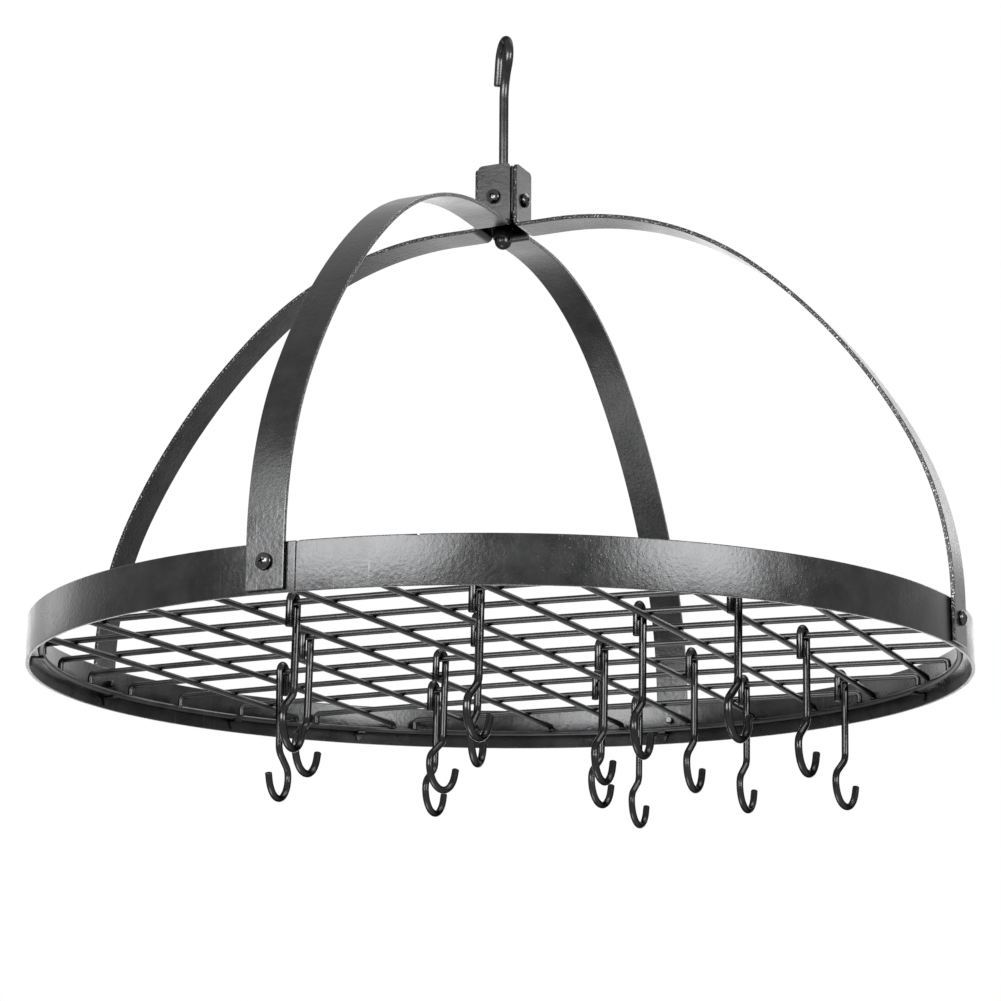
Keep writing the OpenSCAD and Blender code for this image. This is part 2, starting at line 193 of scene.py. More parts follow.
def makeRim():
    r = rim
    mid = r['radius'] - r['thickness'] / 2
    clearSelection()
    bpy.ops.mesh.primitive_plane_add(size=1, location=(mid * mm, 0, r['height'] / 2 * mm),
                                     rotation=(math.radians(90), 0, 0))
    bpy.context.object.scale = (r['thickness'] * mm, r['height'] * mm, 1)
    beginRun('rimBand', mid, 0)
    bpy.ops.mesh.select_mode(type='VERT')
    bpy.ops.mesh.bevel(offset=r['edgeRound'] * mm, segments=r['roundSteps'], affect='VERTICES')
    # loops near the upper edge carry the chip and the rounded plate corner
    for drop in r['loopDrops']:
        bpy.ops.mesh.select_all(action='SELECT')
        bpy.ops.mesh.bisect(plane_co=(0, 0, (r['height'] - drop) * mm), plane_no=(0, 0, 1))
    bpy.ops.mesh.select_all(action='SELECT')
    bpy.ops.mesh.delete(type='ONLY_FACE')
    # the cuts across the thickness would be walls inside the band
    lowest = r['wallLow'] * mm
    highest = (r['height'] - r['edgeRound'] - r['wallTop']) * mm
    pick('EDGE', lambda edge: lowest < middle(edge).z < highest
         and abs(edge.verts[0].co.x - edge.verts[1].co.x) > r['wallWidth'] * mm)
    bpy.ops.mesh.delete(type='EDGE')
    # the turns of the cross-sections, counted from the welded seam
    endTurn = math.degrees(r['endRound'] / r['radius'])
    chipLow, chipHigh = r['chipTurn'] - r['chipHalf'], r['chipTurn'] + r['chipHalf']
    legs = [(r['seamHalf'], endTurn, r['endSteps']), (endTurn, chipLow, r['plainSteps']),
            (chipLow, chipHigh, r['chipSteps']),
            (chipHigh, 360 - r['seamHalf'], int((360 - chipHigh) / r['arc'])),
            (360 - r['seamHalf'], 360 + r['seamHalf'], r['seamSteps'])]
    bpy.ops.mesh.select_all(action='SELECT')
    # the drawn profile lies at turn 0, which is the middle of the seam
    for start, end, steps in legs:
        bpy.ops.mesh.spin(steps=steps, angle=math.radians(start - end),
                          center=(0, 0, 0), axis=(0, 0, 1))
    bpy.ops.mesh.select_mode(type='VERT')
    bpy.ops.mesh.select_all(action='SELECT')
    bpy.ops.mesh.remove_doubles(threshold=mergeGap)
    bpy.ops.object.mode_set(mode='OBJECT')
    piece = bpy.context.object
    for point in piece.data.vertices:
        out = Vector((point.co.x, point.co.y, 0))
        turn = (math.degrees(math.atan2(out.y, out.x)) + r['seamHalf']) % 360
        high = point.co.z / mm
        along = math.radians(turn - r['seamHalf']) * r['radius']
        if 0 <= along < r['endRound'] and high > r['height'] / 2:
            lost = r['endRound'] - math.sqrt(r['endRound'] ** 2 - (r['endRound'] - along) ** 2)
            share = max(0, (high - (r['height'] - r['endReach'])) / r['endReach'])
            point.co.z -= lost * r['endShare'] * share * mm
        chipGap = abs(turn - r['chipTurn']) / r['chipHalf']
        if chipGap < r['chipShare'] and high > r['height'] - r['chipReach']:
            point.co.z -= r['chipDepth'] * (1 - chipGap ** 2) * mm
    piece.data.transform(turned(r['seamTurn']))
    seamTurn = math.radians(r['seamTurn'])
    seam = Vector((math.cos(seamTurn), math.sin(seamTurn), 0))
    for point in piece.data.vertices:
        flat = Vector((point.co.x, point.co.y, 0))
        if flat.angle(seam) < math.radians(r['seamSearch']) and flat.length > mid * mm:
            point.co -= seam * r['seamDepth'] * mm
    bpy.ops.object.mode_set(mode='EDIT')
    closeShape()

    def grainAt(co):
        turn = math.degrees(math.atan2(co.y, co.x)) % 360
        along = math.radians(turn) * r['radius'] * mm
        return (along, co.z / (r['height'] / 2 * mm) - 1, math.hypot(co.x, co.y))

    markGrain(piece, grainAt)
    piece.data.transform(hungPlace)
    keep(piece, 'rack', ['rim_band'], 'frame_paint', 'framePaint')


makeRim()
print('rim band made')


# grid

grid = {'rows': 10, 'pitch': 66.5, 'wire': 5, 'crown': 15200, 'bend': 3.6, 'longTop': 27.9911,
        'crossTop': 23.2911, 'footTop': 14.9, 'ringRadius': 369.5, 'ringHeight': 12.7, 'ring': 5,
        'wireSides': 14, 'bendSteps': 7, 'crownSteps': 24, 'ringSides': 20, 'ringSteps': 180}


def makeRing():
    clearSelection()
    g = grid
    bpy.ops.mesh.primitive_circle_add(vertices=g['ringSides'], radius=g['ring'] / 2 * mm,
                                      fill_type='NOTHING',
                                      location=(g['ringRadius'] * mm, 0, g['ringHeight'] * mm),
                                      rotation=(math.radians(90), 0, 0))
    beginRun('gridRing', g['ringRadius'], g['ringHeight'])
    bpy.ops.mesh.select_all(action='SELECT')
    bpy.ops.mesh.spin(steps=g['ringSteps'], angle=math.radians(360), center=(0, 0, 0),
                      axis=(0, 0, 1))
    piece = closeShape()
    piece.data.transform(hungPlace)
    keep(piece, 'rack', ['grid_ring'], 'grid_paint', 'gridPaint')


def makeWire(off, top):
    # one wire along x, crowned in its middle, both ends turned down onto the ring
    g = grid
    reach = math.sqrt(g['ringRadius'] ** 2 - off ** 2)
    half = math.degrees(math.asin((reach - g['bend']) / (g['crown'] - g['bend'])))
    crest = top - off ** 2 / (2 * g['crown'])
    knee = crest - g['bend'] - (g['crown'] - g['bend']) * (1 - math.cos(math.radians(half)))
    run = startRod('wire', g['wire'], -reach, g['footTop'], g['wireSides'])
    runOn(run, knee - g['footTop'])
    runRound(run, g['bend'], 90 - half, g['bendSteps'])
    runRound(run, g['crown'], 2 * half, g['crownSteps'])
    runRound(run, g['bend'], 90 - half, g['bendSteps'])
    runOn(run, knee - g['footTop'])
    return closeShape()


def makeWires(name, node, top, turn):
    wires = []
    for step in range(grid['rows'] // 2):
        off = (step + 0.5) * grid['pitch']
        wire = makeWire(off, top)
        wires.append(copied(wire, name, turned(turn) @ Matrix.Translation((0, -off * mm, 0))))
        wire.data.transform(turned(turn) @ Matrix.Translation((0, off * mm, 0)))
        wires.append(wire)
    piece = joined(name, wires)
    piece.data.transform(hungPlace)
    keep(piece, 'rack', [node], 'grid_paint', 'gridPaint')


lug = {'turns': (40, 89, 134, 154, 179, 209, 254, 314, 359), 'width': 7, 'tipShare': 0.286,
       'inner': 367, 'plate': 376.3, 'outer': 378.3, 'top': 10.5, 'thickness': 2, 'drop': 6,
       'edgeRound': 0.35}


def makeLugs():
    g = lug
    clearSelection()
    centre = ((g['inner'] + g['outer']) / 2, 0, g['top'] - g['thickness'] / 2)
    bpy.ops.mesh.primitive_cube_add(size=1, location=[value * mm for value in centre])
    size = (g['outer'] - g['inner'], g['width'], g['thickness'])
    bpy.context.object.scale = [value * mm for value in size]
    beginRun('lug', 0, 0)
    bpy.ops.mesh.select_all(action='SELECT')
    bpy.ops.mesh.bisect(plane_co=(g['plate'] * mm, 0, 0), plane_no=(1, 0, 0))
    pick('FACE', lambda face: facesDown(face) and face.calc_center_median().x > g['plate'] * mm)
    bpy.ops.mesh.extrude_region_move(TRANSFORM_OT_translate={'value': (0, 0, -g['drop'] * mm)})
    bpy.ops.transform.resize(value=(1, g['tipShare'], 1), center_override=(0, 0, 0))
    master = closeShape(g['edgeRound'], flat=True)
    lugs = [copied(master, 'lug', turned(turn)) for turn in g['turns']]
    bpy.data.objects.remove(master)
    piece = joined('gridLugs', lugs)
    piece.data.transform(hungPlace)
    keep(piece, 'rack', ['grid_lugs'], 'grid_paint', 'gridPaint')


makeRing()
makeWires('longWires', 'long_wires', grid['longTop'], 0)
makeWires('crossWires', 'cross_wires', grid['crossTop'], 90)
makeLugs()
print('grid made')


# arms

arm = {'thickness': 3.5, 'width': 30, 'foot': 2, 'outside': 384.6, 'lowBend': (282, 27.5),
       'midBend': (495, 22.5), 'flatStart': 50, 'domeHeight': 386, 'tabBend': 3, 'tabHeight': 53,
       'tabInside': 16, 'tabCorner': 4, 'footCorner': 1, 'edgeRound': 0.55,
       'lowSteps': 18, 'midSteps': 20, 'highSteps': 32, 'tabSteps': 8, 'cornerSteps': 6,
       'shortEdge': 3.85, 'grainCentre': 30, 'grainRadius': 380}


def makeArms():
    a = arm
    half = a['thickness'] / 2
    lowRadius, lowTurn = a['lowBend']
    midRadius, midTurn = a['midBend']
    lowCos, lowSin = math.cos(math.radians(lowTurn)), math.sin(math.radians(lowTurn))
    allCos = math.cos(math.radians(lowTurn + midTurn))
    allSin = math.sin(math.radians(lowTurn + midTurn))
    inward = lowRadius * (1 - lowCos) + midRadius * (lowCos - allCos)
    highRadius = (a['outside'] - a['flatStart'] - inward) / allCos
    rise = lowRadius * lowSin + midRadius * (allSin - lowSin) + highRadius * (1 - allSin)
    legTop = a['domeHeight'] - rise
    tabMiddle = a['tabInside'] + half
    run = startBar('arm', a['thickness'], a['width'], a['outside'] - half, a['foot'])
    runOn(run, legTop - a['foot'])
    runRound(run, lowRadius - half, -lowTurn, a['lowSteps'])
    runRound(run, midRadius - half, -midTurn, a['midSteps'])
    runRound(run, highRadius - half, -(90 - lowTurn - midTurn), a['highSteps'])
    runOn(run, a['flatStart'] - tabMiddle - a['tabBend'] - half)
    runRound(run, a['tabBend'] + half, 90, a['tabSteps'])
    runOn(run, a['tabHeight'] - a['tabBend'])
    ends = ((a['foot'], a['footCorner']), (a['domeHeight'] + a['tabHeight'], a['tabCorner']))
    for height, rounding in ends:
        pick('EDGE', lambda edge: abs(edge.verts[0].co.y - edge.verts[1].co.y) < levelGap
             and edge.calc_length() < a['shortEdge'] * mm
             and abs(middle(edge).z - height * mm) < levelGap)
        bpy.ops.mesh.bevel(offset=rounding * mm, segments=a['cornerSteps'], affect='EDGES')
    master = closeShape(a['edgeRound'], segments=3, flat=True)

    def grainAt(co):
        # the length along the arch is near enough the turn about a point low under the dome
        turn = math.atan2(co.z - a['grainCentre'] * mm, co.x)
        along = turn * a['grainRadius'] * mm
        return (along, co.y / (a['width'] / 2 * mm), math.hypot(co.x, co.z))

    markGrain(master, grainAt)
    for name, turn in (('Right', 0), ('Back', 90), ('Left', 180), ('Front', 270)):
        piece = copied(master, 'arm' + name, hungPlace @ turned(turn + armTurn))
        keep(piece, 'rack', ['arm_' + name.lower()], 'frame_paint', 'framePaint')
    bpy.data.objects.remove(master)


makeArms()
print('arms made')


# hub

hub = {'width': 32, 'low': 396, 'height': 41, 'bore': 8.02, 'edgeRound': 0.8,
       'screwHeight': 410, 'boreSides': 40}


def makeHub():
    h = hub
    middleHeight = (h['low'] + h['height'] / 2) * mm
    clearSelection()
    bpy.ops.mesh.primitive_cube_add(size=1, location=(0, 0, middleHeight))
    bpy.context.object.scale = (h['width'] * mm, h['width'] * mm, h['height'] * mm)
    beginRun('hubBlock', 0, 0)
    piece = closeShape()
    bpy.ops.mesh.primitive_cylinder_add(vertices=h['boreSides'], radius=h['bore'] / 2 * mm,
                                        depth=h['height'] * 2 * mm, location=(0, 0, middleHeight))
    cutAway(piece, bpy.context.object)
    bpy.ops.object.mode_set(mode='EDIT')
    closeShape(h['edgeRound'], segments=3, smooth=35, limit=60, flat=True)
    piece.data.transform(hungPlace @ turned(armTurn))
    keep(piece, 'rack', ['hub_block'], 'frame_paint', 'castPaint')


# turned parts

def turnPiece(name, profile, sides=40):
    # worked up from a disc along a profile of radius and height pairs
    clearSelection()
    radius, height = profile[0]
    bpy.ops.mesh.primitive_circle_add(vertices=sides, radius=radius * mm, fill_type='NGON',
                                      location=(0, 0, height * mm))
    beginRun(name, 0, 0)
    for nextRadius, nextHeight in profile[1:]:
        rise = (0, 0, (nextHeight - height) * mm)
        bpy.ops.mesh.extrude_region_move(TRANSFORM_OT_translate={'value': rise})
        if nextRadius != radius:
            share = nextRadius / radius
            bpy.ops.transform.resize(value=(share, share, 1),
                                     center_override=(0, 0, nextHeight * mm))
        radius, height = nextRadius, nextHeight


screw = {'shank': 6, 'head': 12, 'headHeight': 4.6, 'domeShare': 0.45, 'slot': 1.5, 'cross': 6.4,
         'crossDepth': 2.4, 'rimLength': 12, 'tabLength': 13, 'rimHeight': 22, 'rimTurn': 20,
         'tabTurn': 45, 'point': (0.6, 0.8), 'underRound': ((0.35, 0.001), (0.1, 0.12), (0, 0.4)),
         'sideRound': 0.35, 'crownSteps': 8, 'crownFlat': 0.6, 'crownCrowd': 1.3,
         'bladeSpare': 2, 'bladeFloor': (0.5, 0.75, 1), 'bladeTurn': 0.01}


def makeScrew(length):
    s = screw
    dome = s['headHeight'] * s['domeShare']
    side = s['headHeight'] - dome
    cap = (s['head'] ** 2 / 4 + dome ** 2) / (2 * dome)
    shank, head = s['shank'] / 2, s['head'] / 2
    profile = [(shank - s['point'][0], -length), (shank, -length + s['point'][1]), (shank, 0)]
    profile += [(head - inset, high) for inset, high in s['underRound']]
    profile.append((head, side - s['sideRound']))
    # rings crowd towards the edge of the crown, and the last leaves a small flat
    for step in range(1, s['crownSteps'] + 1):
        out = head * (1 - (step / (s['crownSteps'] + s['crownFlat'])) ** s['crownCrowd'])
        profile.append((out, s['headHeight'] - cap + math.sqrt(cap ** 2 - out ** 2)))
    turnPiece('screw', profile)
    piece = closeShape()
    # the cross recess narrows towards its floor
    bladeHeight = s['headHeight'] - s['crossDepth'] / 2 + s['bladeSpare'] / 2
    bladeDepth = s['crossDepth'] + s['bladeSpare']
    blades = []
    for turn in (0, 90):
        clearSelection()
        bpy.ops.mesh.primitive_cube_add(size=1, location=(0, 0, bladeHeight * mm))
        bpy.context.object.scale = (s['cross'] * mm, s['slot'] * mm, bladeDepth * mm)
        beginRun('blade', 0, 0)
        pick('FACE', facesDown)
        bpy.ops.transform.resize(value=s['bladeFloor'], center_override=(0, 0, 0))
        blade = closeShape()
        blade.data.transform(turned(turn + s['bladeTurn']))
        blades.append(blade)
    for blade in blades:
        cutAway(piece, blade)
    bpy.ops.object.mode_set(mode='EDIT')
    closeShape(smooth=35)
    return piece


def makeScrews(name, node, length, out, high, ownTurn):
    master = makeScrew(length)
    lay = turned(90, 'Y')
    screws = []
    for turn in (0, 90, 180, 270):
        place = turned(turn + armTurn) @ Matrix.Translation((out * mm, 0, high * mm))
        place = place @ turned(ownTurn, 'X') @ lay
        screws.append(copied(master, name, place))
    bpy.data.objects.remove(master)
    piece = joined(name, screws)
    piece.data.transform(hungPlace)
    keep(piece, 'rack', [node], 'screw_black', 'screwBlack')


makeHub()
makeScrews('hubScrews', 'hub_screws', screw['tabLength'], arm['tabInside'] + arm['thickness'],
           hub['screwHeight'], screw['tabTurn'])
makeScrews('rimScrews', 'rim_screws', screw['rimLength'], arm['outside'],
           screw['rimHeight'], screw['rimTurn'])
print('hub and screws made')


# ceiling hook, washer and nuts

hanger = {'rod': 7.9, 'low': 376.15, 'stemTop': 504, 'neck': (38, 45.06), 'bowl': 15.8,
          'tipFlare': 12, 'tip': 21.4, 'turn': -52, 'endRound': 1.2, 'sides': 28,
          'neckSteps': 10, 'bowlSteps': 36}


def makeHanger():
    h = hanger
    neckRadius, neckTurn = h['neck']
    run = startRod('hangerHook', h['rod'], 0, h['low'], h['sides'])
    runOn(run, h['stemTop'] - h['low'])
    runRound(run, neckRadius, neckTurn, h['neckSteps'])
    runRound(run, h['bowl'], -(neckTurn + 180 - h['tipFlare']), h['bowlSteps'])
    runOn(run, h['tip'])
    piece = closeShape(h['endRound'], segments=3)
    piece.data.transform(hungPlace @ turned(h['turn']))
    keep(piece, 'hanger', ['hanger_hook'], 'stem_paint', 'stemPaint')


washer = {'low': 393.95, 'thickness': 2, 'radius': 11, 'hole': 4.1, 'lowEdge': (0.5, 0.4),
          'topEdge': 0.3, 'sides': 48, 'cutLength': 10, 'smooth': 38}
nut = {'flats': 16, 'lockLow': 386.15, 'lockHeight': 7.8, 'capLow': 378.15, 'capHex': 8,
       'capDome': 9, 'domeShrink': 1.6, 'domeTip': 0.15, 'domeSteps': 9, 'domeSink': 1,
       'bore': 3.85, 'boreSides': 32, 'cutLength': 30, 'chamfer': 0.8, 'coneSides': 48,
       'coneSlack': 0.01, 'hexTurn': 30, 'smooth': 25}


def makeWasher():
    w = washer
    top = w['low'] + w['thickness']
    inset, lift = w['lowEdge']
    turnPiece('hubWasher', [(w['radius'] - inset, w['low']), (w['radius'], w['low'] + lift),
                            (w['radius'], top - w['topEdge']), (w['radius'] - w['topEdge'], top)],
              w['sides'])
    piece = closeShape()
    bpy.ops.mesh.primitive_cylinder_add(vertices=nut['boreSides'], radius=w['hole'] * mm,
                                        depth=w['cutLength'] * mm, location=(0, 0, w['low'] * mm))
    cutAway(piece, bpy.context.object)
    bpy.ops.object.shade_smooth_by_angle(angle=math.radians(w['smooth']))
    piece.data.transform(hungPlace)
    keep(piece, 'hanger', ['hub_washer'], 'stem_paint', 'stemPaint')


def hexBody(name, low, height):
    # a six-sided bar whose corners are turned off by a wide cone at both faces
    n = nut
    hexTurn = math.radians(n['hexTurn'])
    corner = n['flats'] / 2 / math.cos(hexTurn)
    clearSelection()
    bpy.ops.mesh.primitive_cylinder_add(vertices=6, radius=corner * mm, depth=height * mm,
                                        location=(0, 0, (low + height / 2) * mm),
                                        rotation=(0, 0, hexTurn))
    beginRun(name, 0, 0)
    piece = closeShape()
    side, wide = n['flats'] / 2, corner + n['coneSlack']
    turnPiece('cone', [(side, low), (wide, low + n['chamfer']),
                       (wide, low + height - n['chamfer']), (side, low + height)],
              n['coneSides'])
    cone = closeShape()
    clearSelection()
    piece.select_set(True)
    bpy.context.view_layer.objects.active = piece
    cut = piece.modifiers.new('cut', 'BOOLEAN')
    cut.operation = 'INTERSECT'
    cut.object = cone
    cut.solver = 'EXACT'
    bpy.ops.object.modifier_apply(modifier='cut')
    bpy.data.objects.remove(cone)
    return piece


def makeNuts():
    n = nut
    lock = hexBody('lockNut', n['lockLow'], n['lockHeight'])
    bpy.ops.mesh.primitive_cylinder_add(vertices=n['boreSides'], radius=n['bore'] * mm,
                                        depth=n['cutLength'] * mm,
                                        location=(0, 0, n['lockLow'] * mm))
    cutAway(lock, bpy.context.object)
    dome = (n['flats'] - n['domeShrink']) / 2
    domeHeight = n['capLow'] + dome - n['capDome']
    profile = []
    for step in range(n['domeSteps'] + 1):
        angle = math.radians(90 - step * 90 / n['domeSteps'])
        out = max(n['domeTip'], dome * math.cos(angle))
        profile.append((out, domeHeight - dome * math.sin(angle)))
    profile.append((dome, n['capLow'] + n['domeSink']))
    turnPiece('dome', profile)
    domePiece = closeShape()
    cap = hexBody('capNut', n['capLow'], n['capHex'])
    join = cap.modifiers.new('join', 'BOOLEAN')
    join.operation = 'UNION'
    join.object = domePiece
    join.solver = 'EXACT'
    bpy.ops.object.modifier_apply(modifier='join')
    bpy.data.objects.remove(domePiece)
    for piece, node in ((lock, 'lock_nut'), (cap, 'cap_nut')):
        clearSelection()
        piece.select_set(True)
        bpy.context.view_layer.objects.active = piece
        bpy.ops.object.shade_smooth_by_angle(angle=math.radians(n['smooth']))
        piece.data.transform(hungPlace)
        keep(piece, 'hanger', [node], 'stem_paint', 'nutPaint')


makeHanger()
makeWasher()
makeNuts()
print('ceiling hook and nuts made')


# pot hooks

potHook = {'wire': 6, 'archTop': 8.8, 'arch': 7.2, 'shortLeg': 29, 'height': 121, 'bowl': 20,
           'bowlShift': 8, 'slant': 52, 'slantBend': 11, 'tipFlare': 15, 'tip': 6, 'lean': 2.5,
           'endRound': 0.9, 'sides': 16, 'archSteps': 20, 'slantSteps': 7, 'bowlSteps': 28}
# for each hook: place along the wire, the wire's number from the front, turn about the upright
potHookPlaces = [(-68.5, 1, 5.6), (-126, 3, 1.4), (-217.3, 5, 184), (-68.4, 5, -7.8),
                 (-135.8, 7, 1), (81.3, 1, -0.5), (22.8, 3, 10), (75.6, 5, -0.5),
                 (21.8, 7, -3.6), (158.2, 3, 1.4), (7.5, 9, 1.2), (130.1, 6, 0.8),
                 (255.8, 2, -3.9), (131.9, 8, 0.2), (246.6, 5, -3.4), (219.7, 8, -8.7)]


def makePotHooks():
    p = potHook
    archHeight = p['archTop'] - p['wire'] / 2 - p['arch']
    bowlHeight = p['archTop'] - p['height'] + p['wire'] / 2 + p['bowl']
    slant = math.radians(p['slant'])
    tangent = p['slantBend'] * math.tan(slant / 2)
    across = p['arch'] - (p['bowlShift'] - p['bowl'])
    slantHigh = bowlHeight + tangent + across / math.tan(slant)
    run = startRod('potHook', p['wire'], -p['arch'], p['archTop'] - p['shortLeg'], p['sides'])
    runOn(run, archHeight - (p['archTop'] - p['shortLeg']))
    runRound(run, p['arch'], 180, p['archSteps'])
    runOn(run, archHeight - slantHigh - tangent)
    runRound(run, p['slantBend'], p['slant'], p['slantSteps'])
    runOn(run, across / math.sin(slant) - 2 * tangent)
    runRound(run, p['slantBend'], -p['slant'], p['slantSteps'])
    runRound(run, p['bowl'], -(180 - p['tipFlare']), p['bowlSteps'])
    runOn(run, p['tip'])
    master = closeShape(p['endRound'], segments=3)
    master.data.transform(turned(p['lean'], 'Y'))
    for number, (along, row, turn) in enumerate(potHookPlaces, 1):
        off = (row - (grid['rows'] - 1) / 2) * grid['pitch']
        high = grid['longTop'] - (off ** 2 + along ** 2) / (2 * grid['crown'])
        place = Matrix.Translation((along * mm, off * mm, high * mm)) @ turned(90 + turn)
        place = hungPlace @ place
        label = f'{number:02d}'
        piece = copied(master, 'potHook' + label, place)
        keep(piece, 'pot_hook_' + label, ['pot_hook_' + label], 'hook_wire', 'hookPaint')
    bpy.data.objects.remove(master)


makePotHooks()
print('pot hooks made')


# paints

def addNode(tree, kind, values=None, links=None, **settings):
    made = tree.nodes.new('ShaderNode' + kind)
    for name, value in settings.items():
        setattr(made, name, value)
    for name, value in (values or {}).items():
        made.inputs[name].default_value = value
    for name, source in (links or {}).items():
        tree.links.new(source, made.inputs[name])
    return made


def calc(tree, operation, a, b=0.5):
    made = tree.nodes.new('ShaderNodeMath')
    made.operation = operation
    for index, value in enumerate((a, b)):
        if isinstance(value, (int, float)):
            made.inputs[index].default_value = value
        else:
            tree.links.new(value, made.inputs[index])
    return made.outputs[0]


def ramp(tree, value, low, high, start=0.0, end=1.0):
    ends = {'From Min': low, 'From Max': high, 'To Min': start, 'To Max': end}
    made = addNode(tree, 'MapRange', ends, {'Value': value})
    return made.outputs['Result']


def blendColour(tree, share, first, second):
    made = tree.nodes.new('ShaderNodeMix')
    made.data_type = 'RGBA'
    # a colour mix has its share at 0 and its two colours at 6 and 7
    for place, value in ((0, share), (6, first), (7, second)):
        socket = made.inputs[place]
        if isinstance(value, (tuple, int, float)):
            socket.default_value = (*value, 1) if isinstance(value, tuple) else value
        else:
            tree.links.new(value, socket)
    return made.outputs[2]


def newGroup(name, inputs, outputs):
    group = bpy.data.node_groups.new(name, 'ShaderNodeTree')
    for label, kind, value in inputs:
        socket = group.interface.new_socket(name=label, in_out='INPUT', socket_type=kind)
        if value is not None:
            socket.default_value = value
    for label in outputs:
        group.interface.new_socket(name=label, in_out='OUTPUT', socket_type='NodeSocketFloat')
    return group, group.nodes.new('NodeGroupInput'), group.nodes.new('NodeGroupOutput')


# a plain number is the marks in a metre, near enough, and a range runs from no mark to a full one
skinMarks = {'blotch': 38, 'greyRange': (0.35, 0.65), 'shineRange': (0.3, 0.7), 'peel': 340,
             'runRange': (0.35, 0.75), 'grit': 300, 'gritRange': (0.26, 0.12), 'gritPatch': 22,
             'patchRange': (0.5, 0.62)}


def addNoise(tree, place, scale, detail, **more):
    values = {'Scale': scale, 'Detail': detail}
    values.update({name.capitalize(): value for name, value in more.items()})
    return addNode(tree, 'TexNoise', values, {'Vector': place}).outputs['Fac']


def makePaintSkin():
    # sprayed enamel: slow blotches, orange peel, runs along the bar, and grit under the paint
    vector, number = 'NodeSocketVector', 'NodeSocketFloat'
    inputs = [('Place', vector, None), ('Run place', vector, None)]
    inputs += [(label, number, 1.0) for label in ('Peel', 'Runs', 'Grit')]
    group, given, result = newGroup('paintSkin', inputs, ['Blotch', 'Height'])
    place = given.outputs['Place']
    blotch = addNoise(group, place, skinMarks['blotch'], 4, roughness=0.6)
    peel = addNoise(group, place, skinMarks['peel'], 2, roughness=0.5)
    runs = addNoise(group, given.outputs['Run place'], 1, 3, roughness=0.55, distortion=0.6)
    grit = addNode(group, 'TexVoronoi', {'Scale': skinMarks['grit'], 'Randomness': 1.0},
                   {'Vector': place}).outputs['Distance']
    patch = addNoise(group, place, skinMarks['gritPatch'], 1)
    gritMask = calc(group, 'MULTIPLY', ramp(group, grit, *skinMarks['gritRange']),
                    ramp(group, patch, *skinMarks['patchRange']))
    runMask = ramp(group, runs, *skinMarks['runRange'])
    runHeight = calc(group, 'MULTIPLY', runMask, given.outputs['Runs'])
    peelHeight = calc(group, 'MULTIPLY', peel, given.outputs['Peel'])
    gritHeight = calc(group, 'MULTIPLY', gritMask, given.outputs['Grit'])
    height = calc(group, 'ADD', calc(group, 'ADD', runHeight, peelHeight), gritHeight)
    group.links.new(blotch, result.inputs['Blotch'])
    group.links.new(height, result.inputs['Height'])
    return group


# the corner marks paint thinned paint together with a painted highlight along the bar's edges
barMarks = {'wornAndHighlight': 130, 'wornHighlightLift': 0.35, 'wornHighlightRange': (0.2, 0.7), 'tornAndGlint': 800,
            'shearRange': (0.985, 0.998)}


def makeBarEdge():
    # where a flat bar's paint thins at its corners, painted lighter also as the highlight its edges
    # catch, and the sheared narrow face, whose relief also carries painted glints
    group, given, result = newGroup('barEdge', [
        ('Grain', 'NodeSocketVector', None), ('Place', 'NodeSocketVector', None),
        ('Reach', 'NodeSocketFloat', 0.06)], ['Corner', 'Sheared', 'Shear height'])
    parts = addNode(group, 'SeparateXYZ', None, {0: given.outputs['Grain']})
    place = given.outputs['Place']
    # 0 in the middle of the bar, 1 at its edge
    side = calc(group, 'ABSOLUTE', parts.outputs['Y'])
    wornAndHighlight = addNoise(group, place, barMarks['wornAndHighlight'], 4)
    near = calc(group, 'DIVIDE', calc(group, 'SUBTRACT', 1.0, side), given.outputs['Reach'])
    edge = calc(group, 'SUBTRACT', calc(group, 'ADD', barMarks['wornHighlightLift'], wornAndHighlight), near)
    sheared = ramp(group, side, *barMarks['shearRange'])
    flat = calc(group, 'SUBTRACT', 1.0, sheared)
    corner = calc(group, 'MULTIPLY', ramp(group, edge, *barMarks['wornHighlightRange']), flat)
    # the torn relief of the sheared face, whose peaks the paint also lightens as painted glints
    tornAndGlint = addNoise(group, place, barMarks['tornAndGlint'], 2, roughness=0.6)
    group.links.new(corner, result.inputs['Corner'])
    group.links.new(sheared, result.inputs['Sheared'])
    group.links.new(calc(group, 'MULTIPLY', tornAndGlint, sheared), result.inputs['Shear height'])
    return group


paintSkin = makePaintSkin()
barEdge = makeBarEdge()


def newPaint(name):
    paint = bpy.data.materials.new(name)
    paint.use_nodes = True
    tree = paint.node_tree
    tree.nodes.clear()
    shader = tree.nodes.new('ShaderNodeBsdfPrincipled')
    output = tree.nodes.new('ShaderNodeOutputMaterial')
    tree.links.new(shader.outputs['BSDF'], output.inputs['Surface'])
    return paint, tree, shader


def placeGroup(tree, group, values, links):
    made = tree.nodes.new('ShaderNodeGroup')
    made.node_tree = group
    for name, value in values.items():
        made.inputs[name].default_value = value
    for name, source in links.items():
        tree.links.new(source, made.inputs[name])
    return made


def setFinish(tree, shader, colour, rough, height, bump, edgeTint):
    # dark enamel shines as metal does, and the edge tint is its mirror strength at a low angle
    relief = addNode(tree, 'Bump', {'Strength': 1.0, 'Distance': bump}, {'Height': height})
    shader.inputs['Metallic'].default_value = 1
    shader.inputs['Specular Tint'].default_value = (edgeTint, edgeTint, edgeTint, 1)
    tree.links.new(colour, shader.inputs['Base Color'])
    tree.links.new(rough, shader.inputs['Roughness'])
    tree.links.new(relief.outputs['Normal'], shader.inputs['Normal'])
